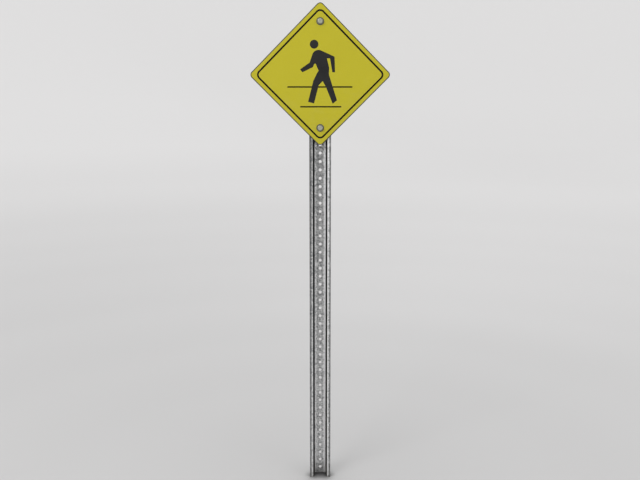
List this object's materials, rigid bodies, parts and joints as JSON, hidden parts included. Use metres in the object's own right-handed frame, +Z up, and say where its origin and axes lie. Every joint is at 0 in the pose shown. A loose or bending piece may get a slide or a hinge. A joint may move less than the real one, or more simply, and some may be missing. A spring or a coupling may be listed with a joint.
{
  "type": "signpost with sign",
  "caption": "Diamond pedestrian-crossing warning sign, a square aluminium plate on its corner, bolted to the flanges of a punched hat-section steel channel post.",
  "frame": {"origin": "middle of the web's thickness on the post's centre line, at the bottom cut end", "axes": "+Z up the post; the sign faces -Y; +X is to the right of a viewer in front of the sign"},
  "size_m": [0.4072, 0.0627, 1.4702],
  "materials": {
    "galvanised_steel": "hot-dip galvanised, fine spangle, dull",
    "mill_aluminium": "mill finish, fine rolling lines, dull cut edge",
    "yellow_sheeting": "retroreflective sheeting, fine cells under a clear face",
    "black_film": "black film, satin",
    "zinc_fastener": "zinc plated, satin",
    "dark_nylon": "dark nylon, satin"
  },
  "bodies": {
    "signpost": {"post": "galvanised_steel", "sign_blank": "mill_aluminium", "reflective_sheeting": "yellow_sheeting", "legend_border": "black_film", "legend_head": "black_film", "legend_body": "black_film", "legend_line_upper": "black_film", "legend_line_lower": "black_film", "upper_bolt": "zinc_fastener", "upper_head_washer": "zinc_fastener", "upper_nylon_washer": "dark_nylon", "upper_back_washer": "zinc_fastener", "lower_bolt": "zinc_fastener", "lower_head_washer": "zinc_fastener", "lower_nylon_washer": "dark_nylon", "lower_back_washer": "zinc_fastener"},
    "upper_lock_washer": {"upper_lock_washer": "zinc_fastener"},
    "upper_nut": {"upper_nut": "zinc_fastener"},
    "lower_lock_washer": {"lower_lock_washer": "zinc_fastener"},
    "lower_nut": {"lower_nut": "zinc_fastener"}
  },
  "joints": [
    {"name": "upper_nut_travel", "type": "slide", "parent": "signpost", "child": "upper_lock_washer", "axis": [0, 1, 0], "range_m": [0, 0.01411]},
    {"name": "upper_nut_turn", "type": "hinge", "parent": "upper_lock_washer", "child": "upper_nut", "pos_m": [0, 0.00827, 1.4178], "axis": [0, 1, 0], "range_deg": [0, 3600]},
    {"name": "lower_nut_travel", "type": "slide", "parent": "signpost", "child": "lower_lock_washer", "axis": [0, 1, 0], "range_m": [0, 0.01411]},
    {"name": "lower_nut_turn", "type": "hinge", "parent": "lower_lock_washer", "child": "lower_nut", "pos_m": [0, 0.00827, 1.113], "axis": [0, 1, 0], "range_deg": [0, 3600]}
  ],
  "couplings": [
    {"joint": "upper_nut_travel", "follows": "upper_nut_turn", "m_per_rad": 0.00022458},
    {"joint": "lower_nut_travel", "follows": "lower_nut_turn", "m_per_rad": 0.00022458}
  ]
}
